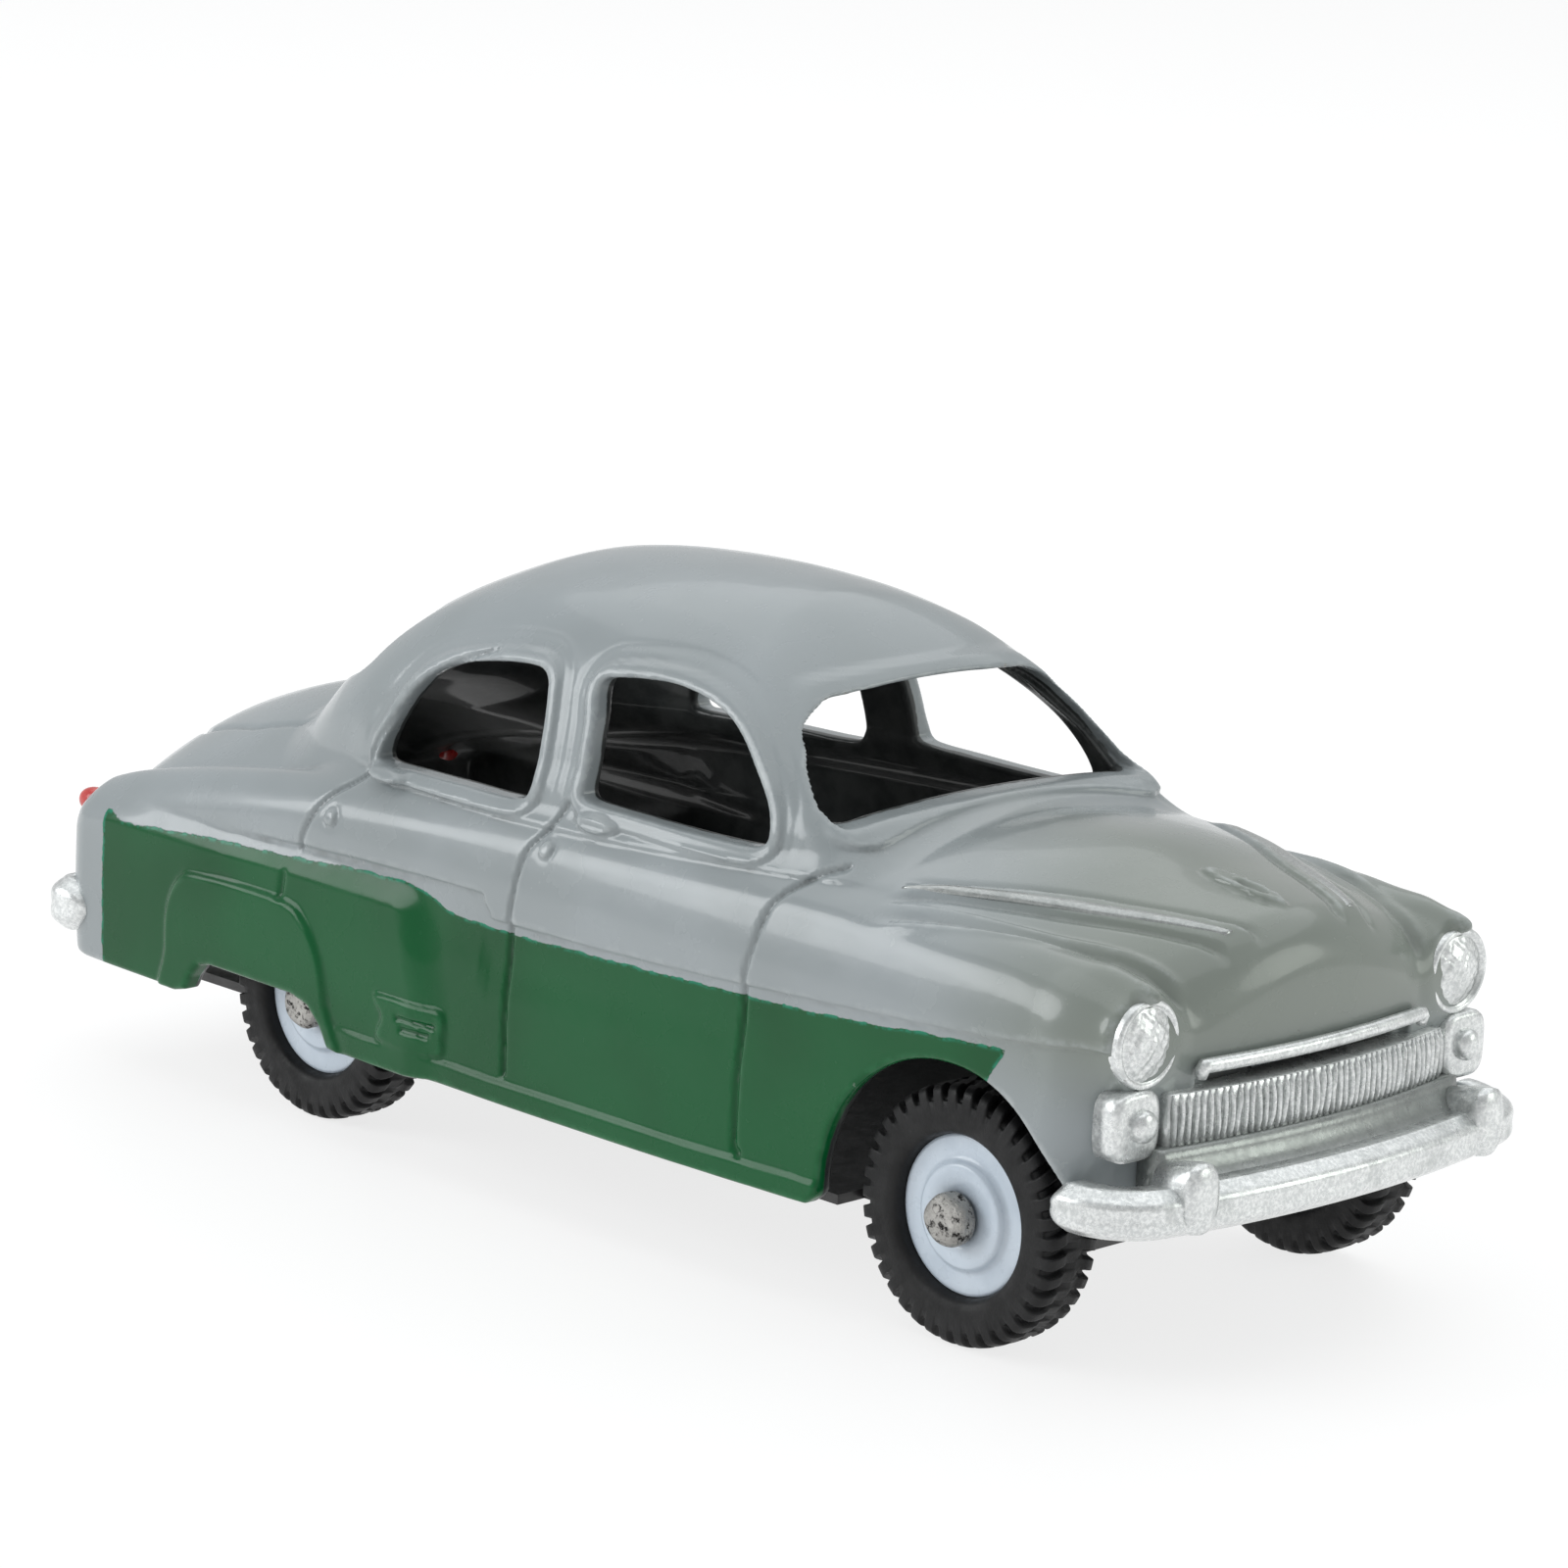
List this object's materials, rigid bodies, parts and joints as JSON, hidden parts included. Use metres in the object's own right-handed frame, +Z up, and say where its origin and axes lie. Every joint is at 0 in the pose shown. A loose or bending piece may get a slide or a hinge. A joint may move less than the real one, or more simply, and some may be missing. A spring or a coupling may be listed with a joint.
{
  "type": "diecast_toy_car",
  "caption": "Vintage two-tone diecast toy saloon, hollow zinc casting on a tinplate base, silver trim, open windows and free-rolling rubber-tyred wheels on steel axles",
  "frame": {"origin": "on the ground under the middle of the car's length and width", "axes": "+X to the front bumper, +Y to the car's left, +Z up"},
  "size_m": [0.0964, 0.0368, 0.0377],
  "materials": {
    "two_tone_enamel": "gloss",
    "bright_silver": "satin",
    "lamp_red": "gloss",
    "base_black": "satin",
    "rivet_metal": "satin",
    "axle_steel": "rough",
    "hub_enamel": "satin",
    "tyre_rubber": "matte"
  },
  "bodies": {
    "chassis": {"body_casting": "two_tone_enamel", "baseplate": "base_black", "base_rivet_front": "rivet_metal", "base_rivet_rear": "rivet_metal", "front_bumper": "bright_silver", "rear_bumper": "bright_silver", "grille": "bright_silver", "grille_bar": "bright_silver", "headlamp_left": "bright_silver", "headlamp_right": "bright_silver", "sidelamp_left": "bright_silver", "sidelamp_right": "bright_silver", "tail_lamp_left": "lamp_red", "tail_lamp_right": "lamp_red", "bonnet_flute_left": "bright_silver", "bonnet_flute_right": "bright_silver"},
    "front_axle": {"front_axle": "axle_steel"},
    "rear_axle": {"rear_axle": "axle_steel"},
    "wheel_front_left": {"hub_front_left": "hub_enamel", "tyre_front_left": "tyre_rubber"},
    "wheel_front_right": {"hub_front_right": "hub_enamel", "tyre_front_right": "tyre_rubber"},
    "wheel_rear_left": {"hub_rear_left": "hub_enamel", "tyre_rear_left": "tyre_rubber"},
    "wheel_rear_right": {"hub_rear_right": "hub_enamel", "tyre_rear_right": "tyre_rubber"}
  },
  "joints": [
    {"name": "front_axle_spin", "type": "hinge", "parent": "chassis", "child": "front_axle", "pos_m": [0.0323, 0, 0.00755], "axis": [0, 1, 0], "continuous": true},
    {"name": "wheel_front_left_spin", "type": "hinge", "parent": "front_axle", "child": "wheel_front_left", "pos_m": [0.0323, 0.0159, 0.00755], "axis": [0, 1, 0], "continuous": true},
    {"name": "wheel_front_right_spin", "type": "hinge", "parent": "front_axle", "child": "wheel_front_right", "pos_m": [0.0323, -0.0159, 0.00755], "axis": [0, 1, 0], "continuous": true},
    {"name": "rear_axle_spin", "type": "hinge", "parent": "chassis", "child": "rear_axle", "pos_m": [-0.0239, 0, 0.00755], "axis": [0, 1, 0], "continuous": true},
    {"name": "wheel_rear_left_spin", "type": "hinge", "parent": "rear_axle", "child": "wheel_rear_left", "pos_m": [-0.0239, 0.0151, 0.00755], "axis": [0, 1, 0], "continuous": true},
    {"name": "wheel_rear_right_spin", "type": "hinge", "parent": "rear_axle", "child": "wheel_rear_right", "pos_m": [-0.0239, -0.0151, 0.00755], "axis": [0, 1, 0], "continuous": true}
  ]
}
